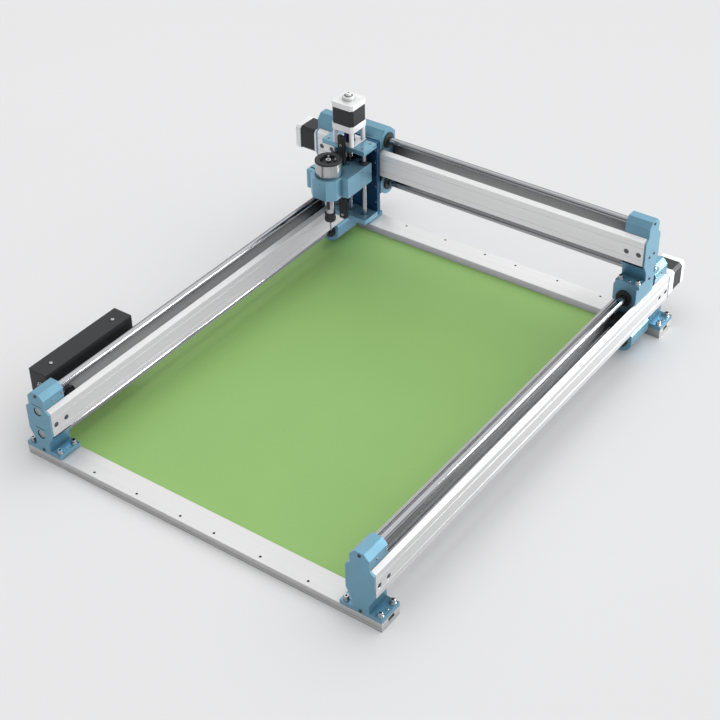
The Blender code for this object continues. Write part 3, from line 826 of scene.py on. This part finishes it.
def z_axis_fittings():
    """Screws of the Z plates, the rod seals, and the Z nut with its spring."""
    low, high = span("z_back_plate")
    plate_top_z = span("z_top_plate")[1].z
    axis_x = (low.x + high.x) / 2
    axis_y = middle("z_screw").y
    plate = bmesh.new()
    for side in (-1, 1):
        x = axis_x + side * 37.4
        for z in EDGE_SCREWS:
            socket_head(plate, (x, low.y, z), (0, -1, 0), "plate_edge")
        for z in BACK_SCREWS:
            socket_head(plate, (axis_x + side * 30.0, high.y, z), (0, 1, 0), "plate_back")
    piece("z_back_plate_screws", plate, "x_carriage", "screw")
    ends = bmesh.new()
    for side in (-1, 1):
        for y in (axis_y - 11.0, axis_y + 11.0):
            socket_head(ends, (axis_x + side * 33.5, y, plate_top_z), (0, 0, 1), "top_plate")
    for side in (-1, 1):
        for node in ("z_top_plate", "z_bottom_plate"):
            a, b = span(node)
            face = b.x if side > 0 else a.x
            socket_head(ends, (face, b.y - 6.5, (a.z + b.z) / 2), (side, 0, 0), "plate_end")
    piece("z_end_plate_screws", ends, "x_carriage", "screw")

    bar_face = span("z_limit_bar")[0].y
    bar = bmesh.new()
    for z in BAR_SCREWS:
        socket_head(bar, (axis_x, bar_face, z), (0, -1, 0), "limit_bar")
    piece("z_limit_bar_screws", bar, "x_carriage", "screw")

    slide_low, slide_high = span("z_slider")
    seals = bmesh.new()
    for rod in ("z_rod_left", "z_rod_right"):
        spot = middle(rod)
        spot.z = slide_high.z
        turned(seals, spot, (0, 0, 1), TOP_SEAL, 36, True)
        spot.z = slide_low.z
        turned(seals, spot, (0, 0, -1), FOOT_SEAL, 36, True)
    piece("z_rod_seals", seals, "z_carriage", "black")
    side_screws = bmesh.new()
    for side in (-1, 1):
        face = slide_high.x if side > 0 else slide_low.x
        for z in (slide_low.z + 3.2, slide_high.z - 5.5):
            socket_head(side_screws, (face, slide_low.y + 4.6, z), (side, 0, 0), "slider_side")
    for u in (-11.96, 11.96):
        socket_head(side_screws, (axis_x + u, slide_low.y + 4.0, slide_high.z), (0, 0, 1), "slider_top")
    piece("z_slider_side_screws", side_screws, "z_carriage", "screw")

    nut_low, nut_high = span("z_nut")
    centre = (nut_low + nut_high) / 2
    seat = slide_high.z
    barrel = bmesh.new()
    spot = Vector((centre.x, centre.y, seat))
    top = nut_high.z - seat
    outline = [(-20.0, 4.3), (-20.0, 5.9), (0.3, 5.9), (0.3, 9.0), (0.8, 9.5), (3.3, 9.5),
               (NUT_FLANGE_TOP, 9.0), (NUT_FLANGE_TOP, 5.0), (top - 4.0, 5.0), (top - 4.0, 6.4),
               (top - 3.4, 6.8), (top - 0.5, 6.8), (top, 6.3), (top, 4.3)]
    turned(barrel, spot, (0, 0, 1), outline, 40, True)
    piece("z_nut_body", barrel, "z_carriage", "dark", 0.0, ["z_nut"])
    spring = bmesh.new()
    coil(spring, spot, (0, 0, 1), 6.0, 0.75, 4.6, top - 4.8, 5.5)
    for k in range(4):
        a = math.radians(45 + 90 * k)
        foot = spot + Vector((7.6 * math.cos(a), 7.6 * math.sin(a), NUT_FLANGE_TOP))
        socket_head(spring, foot, (0, 0, 1), "nut_flange", sides=12)
    piece("z_nut_spring", spring, "z_carriage", "rod_z")


# ---------------------------------------------------------------- spindle

COLLET_BODY = [(112.0, 2.0), (112.0, 7.4), (116.0, 7.4), (117.0, 6.6), (118.5, 6.6), (119.5, 8.0),
               (146.0, 8.0), (147.5, 7.2), (149.5, 7.2), (149.5, 4.0)]
FLUTE_ENDS = (121.5, 143.5)
FLUTE_SECTION = ((-2.7, 7.2), (2.7, 7.2), (2.4, 7.9), (0.0, 8.35), (-2.4, 7.9))
# height, radius, and 1 where the nut is cut to a hexagon
COLLET_NUT = ((95.2, 5.6, 0), (97.0, 8.1, 0), (98.2, 9.1, 0), (103.0, 9.2, 0), (103.6, 8.4, 1),
              (110.2, 8.4, 1), (110.8, 9.2, 0), (112.2, 8.9, 0), (112.8, 8.1, 0))
NUT_RADIUS = 9.2
NUT_FLAT = 8.1
NUT_BORE = 1.9
FLUTE_TOP = 91.0
TERMINAL = [(0, 2.0), (2.4, 2.0), (2.8, 1.6), (4.0, 1.4), (4.3, 1.1)]


def spindle():
    """Spindle motor with its end cap and terminals, the clamp's screws, the collet and the end mill."""
    low, high = span("spindle_motor")
    axis = (low + high) / 2
    at = Vector((axis.x, axis.y, low.z))
    tall = high.z - low.z
    wide = (high.x - low.x) / 2
    can = bmesh.new()
    outline = [(0, 4.8), (0, wide - 1.2), (1.2, wide), (tall - 3.0, wide), (tall - 3.0, 20.4),
               (tall - 6.0, 20.4), (tall - 6.0, 4.8)]
    turned(can, at, (0, 0, 1), outline, 72, True)
    piece("spindle_can", can, "z_carriage", "can", 0.0, ["spindle_motor"])
    cap = bmesh.new()
    outline = [(tall - 5.8, 13.3), (tall - 5.8, 20.3), (tall - 2.9, 20.3), (tall - 2.9, wide - 0.1),
               (tall - 1.1, wide - 0.1), (tall - 0.3, wide - 0.8), (tall, wide - 1.8),
               (tall, 15.4), (tall - 0.5, 14.6), (tall - 1.6, 14.3), (tall - 2.0, 13.3)]
    turned(cap, at, (0, 0, 1), outline, 72, True)
    piece("spindle_end_cap", cap, "z_carriage", "black")
    inner = bmesh.new()
    outline = [(tall - 5.9, 4.4), (tall - 5.9, 13.2), (tall - 4.9, 13.2), (tall - 4.5, 12.6),
               (tall - 4.5, 4.4)]
    turned(inner, at, (0, 0, 1), outline, 48, True)
    for k in range(10):
        a = TAU * k / 10
        spoke = at + Vector((8.6 * math.cos(a), 8.6 * math.sin(a), tall - 4.6))
        turned(inner, spoke, (0, 0, 1), [(0, 1.5), (0.8, 1.5), (1.1, 1.1)], 12)
    piece("spindle_brush_plate", inner, "z_carriage", "dark")
    bright = bmesh.new()
    outline = [(tall - 5.9, 1.8), (tall - 5.9, 4.3), (tall - 2.0, 4.3), (tall - 1.4, 3.7),
               (tall - 1.4, 1.8)]
    turned(bright, at, (0, 0, 1), outline, 32, True)
    for x, y in ((-6.2, 8.8), (8.3, 7.4)):
        foot = at + Vector((x, y, tall - 4.6))
        turned(bright, foot, (0, 0, 1), TERMINAL, 20)
    piece("spindle_terminals", bright, "z_carriage", "screw")

    clamp_low, clamp_high = span("spindle_clamp")
    ear = bmesh.new()
    for z in (clamp_low.z + 7.0, clamp_high.z - 7.5):
        socket_head(ear, (clamp_low.x, axis.y + 4.2, z), (-1, 0, 0), "clamp_side")
    for u in (-31.0, 31.0):
        socket_head(ear, (axis.x + u, axis.y + 22.0, clamp_high.z), (0, 0, 1), "clamp_top")
    piece("spindle_clamp_screws", ear, "z_carriage", "screw")

    shaft_top = span("spindle_shaft")[1].z
    tip = Vector((axis.x, axis.y, 0))
    body = bmesh.new()
    turned(body, tip, (0, 0, 1), COLLET_BODY + [(shaft_top, 4.0), (shaft_top, 2.0)], 48, True)
    piece("spindle_collet_body", body, "spindle", "can", 0.0, ["spindle_shaft"])
    flats = bmesh.new()
    for k in range(4):
        a = TAU * k / 4 + math.radians(20)
        out = Vector((math.cos(a), math.sin(a), 0))
        side = Vector((-out.y, out.x, 0))
        rings = []
        for z in FLUTE_ENDS:
            ring = []
            for u, r in FLUTE_SECTION:
                ring.append(tip + out * r + side * u + Vector((0, 0, z)))
            rings.append(ring)
        skin(flats, rings)
    piece("spindle_collet_flutes", flats, "spindle", "dark")
    nut = bmesh.new()
    rings = []
    sides = 48
    for z, r, flat in COLLET_NUT:
        ring = []
        for k in range(sides):
            a = TAU * k / sides
            reach = min(NUT_RADIUS, hexed(k, sides, NUT_FLAT)) if flat else r
            ring.append(tip + Vector((reach * math.cos(a), reach * math.sin(a), z)))
        rings.append(ring)
    for z in (COLLET_NUT[-1][0], COLLET_NUT[0][0]):
        ring = []
        for k in range(sides):
            a = TAU * k / sides
            ring.append(tip + Vector((NUT_BORE * math.cos(a), NUT_BORE * math.sin(a), z)))
        rings.append(ring)
    skin(nut, rings, False)
    piece("spindle_collet_nut", nut, "spindle", "dark")

    mill_low, mill_high = span("end_mill")
    section = []
    for k in range(16):
        a = TAU * k / 16
        section.append((a, 1.0 + 0.58 * abs(math.cos(a)) ** 0.7))
    mill = bmesh.new()
    twisted(mill, tip, (0, 0, 1), section, mill_low.z + 0.6, FLUTE_TOP, 9.0, 0.4)
    turned(mill, tip, (0, 0, 1), [(mill_low.z, 0.5), (mill_low.z + 0.7, 1.4), (mill_low.z + 0.9, 0.9)], 16)
    turned(mill, tip, (0, 0, 1), [(FLUTE_TOP - 0.6, 1.2), (FLUTE_TOP + 0.4, 1.6),
                                  (mill_high.z - 0.3, 1.6), (mill_high.z, 1.3)], 24)
    piece("end_mill_flutes", mill, "spindle", "rod_z", 0.0, ["end_mill"])


# ---------------------------------------------------------------- control box and small parts

LID_SCREWS = (62.4, 192.5)
BOX_MIDDLE = -318.0
INLET_AT = (-315.0, 78.0)
INLET = [(-2.0, 3.2), (-2.0, 4.9), (0.0, 4.9), (0.0, 6.4), (1.4, 6.4), (2.0, 5.8), (2.0, 4.9),
         (3.6, 4.9), (4.0, 4.4), (4.0, 3.2)]
INLET_PIN = [(-1.8, 3.15), (-1.2, 3.15), (-1.2, 1.2), (2.6, 1.2), (3.0, 0.8)]
SOCKET_HEIGHTS = (46.0, 58.0)
SWITCH_PIN = [(0, 1.3), (0.5, 1.3), (0.7, 1.0)]


def small_parts():
    """The control box's screws, inlet and sockets, and the limit switch's lever and pins."""
    lid_top = span("control_box_lid")[1].z
    case_front = span("control_box_case")[0].y
    heads = bmesh.new()
    for y in LID_SCREWS:
        socket_head(heads, (BOX_MIDDLE, y, lid_top - 1.2), (0, 0, 1), "box_lid")
    piece("control_box_screws", heads, "base", "screw")
    spot = (INLET_AT[0], case_front, INLET_AT[1])
    inlet = bmesh.new()
    turned(inlet, spot, (0, -1, 0), INLET, 32, True)
    piece("control_box_inlet", inlet, "base", "screw")
    pin = bmesh.new()
    turned(pin, spot, (0, -1, 0), INLET_PIN, 24)
    piece("control_box_inlet_pin", pin, "base", "dark")
    sockets = bmesh.new()
    for z in SOCKET_HEIGHTS:
        slab(sockets, Vector((-322.0, case_front - 2.2, z - 4.0)),
             Vector((-308.0, case_front + 0.4, z + 4.0)), 0.8, 1)
    piece("control_box_sockets", sockets, "base", "black", 0.3)
    low, high = span("y_limit_switch")
    x = (low.x + high.x) / 2
    lever = bmesh.new()
    slab(lever, Vector((x - 2.0, high.y - 1.0, high.z)),
         Vector((x + 2.0, high.y - 0.4, high.z + 2.0)), 0.2, 1)
    for y in (low.y + 3.0, high.y - 3.0):
        turned(lever, (x - 2.4, y, high.z), (0, 0, 1), SWITCH_PIN, 14)
    piece("limit_switch_fittings", lever, "base", "screw")


# ---------------------------------------------------------------- stage, light and camera

FLOOR_HALF = 9.0


def stage():
    """Plain pale floor under the machine."""
    bm = bmesh.new()
    bmesh.ops.create_grid(bm, x_segments=2, y_segments=2, size=FLOOR_HALF)
    for vert in bm.verts:
        vert.co.z = CAD_BOUNDS[0][2]
    mesh = bpy.data.meshes.new("floor")
    bm.to_mesh(mesh)
    bm.free()
    floor = bpy.data.objects.new("floor", mesh)
    bpy.context.scene.collection.objects.link(floor)
    g = Graph("pale_floor")
    cloud = g.noise((1.5, 1.5, 1.5), 2.0)
    base = g.ramp(cloud, [(0.3, (0.800, 0.800, 0.802)), (0.7, (0.806, 0.806, 0.808))])
    mesh.materials.append(g.finish(base, g.spread(cloud, 0.88, 0.92), 0.0, Specular_IOR_Level=0.1))


WORLD_STRENGTH = 0.98
BACKDROP = (0.83, 0.83, 0.83)
# brightness by the height of a direction: 0 at the horizon and below it, 1 straight up
SKY_STOPS = [(0.0, 0.50), (0.08, 0.42), (0.14, 0.24), (0.30, 0.28), (0.42, 0.80), (0.54, 1.15),
             (0.68, 1.05), (1.0, 1.15)]
SKY_LEAN = (0.25, 0.40, 0.0)


def sky():
    """Soft studio surround, brighter above and to the back right; the camera sees a plain grey instead."""
    space = bpy.data.worlds.new("studio")
    bpy.context.scene.world = space
    space.use_nodes = True
    tree = space.node_tree
    back = tree.nodes["Background"]
    coords = tree.nodes.new("ShaderNodeTexCoord")
    split = tree.nodes.new("ShaderNodeSeparateXYZ")
    tree.links.new(coords.outputs["Generated"], split.inputs[0])
    ramp = tree.nodes.new("ShaderNodeValToRGB")
    line = ramp.color_ramp
    while len(line.elements) < len(SKY_STOPS):
        line.elements.new(0.5)
    for element, (at, value) in zip(line.elements, SKY_STOPS):
        element.position = at
        element.color = (value, value, value * 1.01, 1.0)
    tree.links.new(split.outputs["Z"], ramp.inputs["Fac"])
    lean = tree.nodes.new("ShaderNodeVectorMath")
    lean.operation = "DOT_PRODUCT"
    lean.inputs[1].default_value = SKY_LEAN
    tree.links.new(coords.outputs["Generated"], lean.inputs[0])
    side = tree.nodes.new("ShaderNodeMath")
    side.operation = "ADD"
    side.inputs[1].default_value = 1.0
    tree.links.new(lean.outputs["Value"], side.inputs[0])
    tint = tree.nodes.new("ShaderNodeVectorMath")
    tint.operation = "SCALE"
    tree.links.new(ramp.outputs["Color"], tint.inputs[0])
    tree.links.new(side.outputs["Value"], tint.inputs["Scale"])
    seen = tree.nodes.new("ShaderNodeLightPath")
    plain = tree.nodes.new("ShaderNodeMix")
    plain.data_type = "RGBA"
    plain.inputs["B"].default_value = (*BACKDROP, 1.0)
    tree.links.new(seen.outputs["Is Camera Ray"], plain.inputs["Factor"])
    tree.links.new(tint.outputs["Vector"], plain.inputs["A"])
    tree.links.new(plain.outputs["Result"], back.inputs["Color"])
    back.inputs["Strength"].default_value = WORLD_STRENGTH


def area(name, spot, target, size, power):
    """Rectangular softbox at a spot, turned to a target; the camera doesn't see it."""
    data = bpy.data.lights.new(name, "AREA")
    data.shape = "RECTANGLE"
    data.size, data.size_y = size
    data.energy = power
    obj = bpy.data.objects.new(name, data)
    obj.location = spot
    obj.visible_camera = False
    obj.rotation_euler = (Vector(target) - Vector(spot)).to_track_quat("-Z", "Y").to_euler()
    bpy.context.scene.collection.objects.link(obj)
    return obj


def lights():
    """A large softbox above, and a small one beside the right rail that leaves out floor and board."""
    side = area("right_softbox", (1.00, 0.78, 0.42), (0.3, 0.30, 0.12), (0.5, 0.4), 15.0)
    left_out = bpy.data.collections.new("not_lit_from_the_side")
    left_out.objects.link(bpy.data.objects["floor"])
    left_out.objects.link(NODES["work_board"])
    side.light_linking.receiver_collection = left_out
    for entry in left_out.collection_objects:
        entry.light_linking.link_state = "EXCLUDE"
    area("top_softbox", (-0.5, 0.6, 3.0), (0.0, 0.0, 0.0), (3.2, 3.2), 9.0)


# camera solved from the photo's perspective; angles in degrees, place in metres, lens in mm
YAW = 36.371
PITCH = 37.139
ROLL = -1.2526
CAMERA_AT = (1.14638, -1.56998, 1.49806)
SENSOR = 36.0
LENS = 79.6


def camera():
    """Camera in front of the machine and to its right, looking down at it with a slight roll."""
    yaw, pitch, roll = (math.radians(a) for a in (YAW, PITCH, ROLL))
    ahead = Vector((-math.sin(yaw) * math.cos(pitch), math.cos(yaw) * math.cos(pitch), -math.sin(pitch)))
    right = Vector((math.cos(yaw), math.sin(yaw), 0))
    up = right.cross(ahead)
    rolled_right = right * math.cos(roll) + up * math.sin(roll)
    rolled_up = up * math.cos(roll) - right * math.sin(roll)
    data = bpy.data.cameras.new("camera")
    data.sensor_width = SENSOR
    data.lens = LENS
    data.clip_end = 50.0
    obj = bpy.data.objects.new("camera", data)
    bpy.context.scene.collection.objects.link(obj)
    turn = Matrix((rolled_right, rolled_up, -ahead)).transposed().to_4x4()
    obj.matrix_world = Matrix.Translation(CAMERA_AT) @ turn
    bpy.context.scene.camera = obj


dress_all()
fittings()
motors()
lead_screws()
z_axis_fittings()
spindle()
small_parts()
stage()
sky()
lights()
camera()
bpy.context.scene.view_settings.view_transform = "Standard"
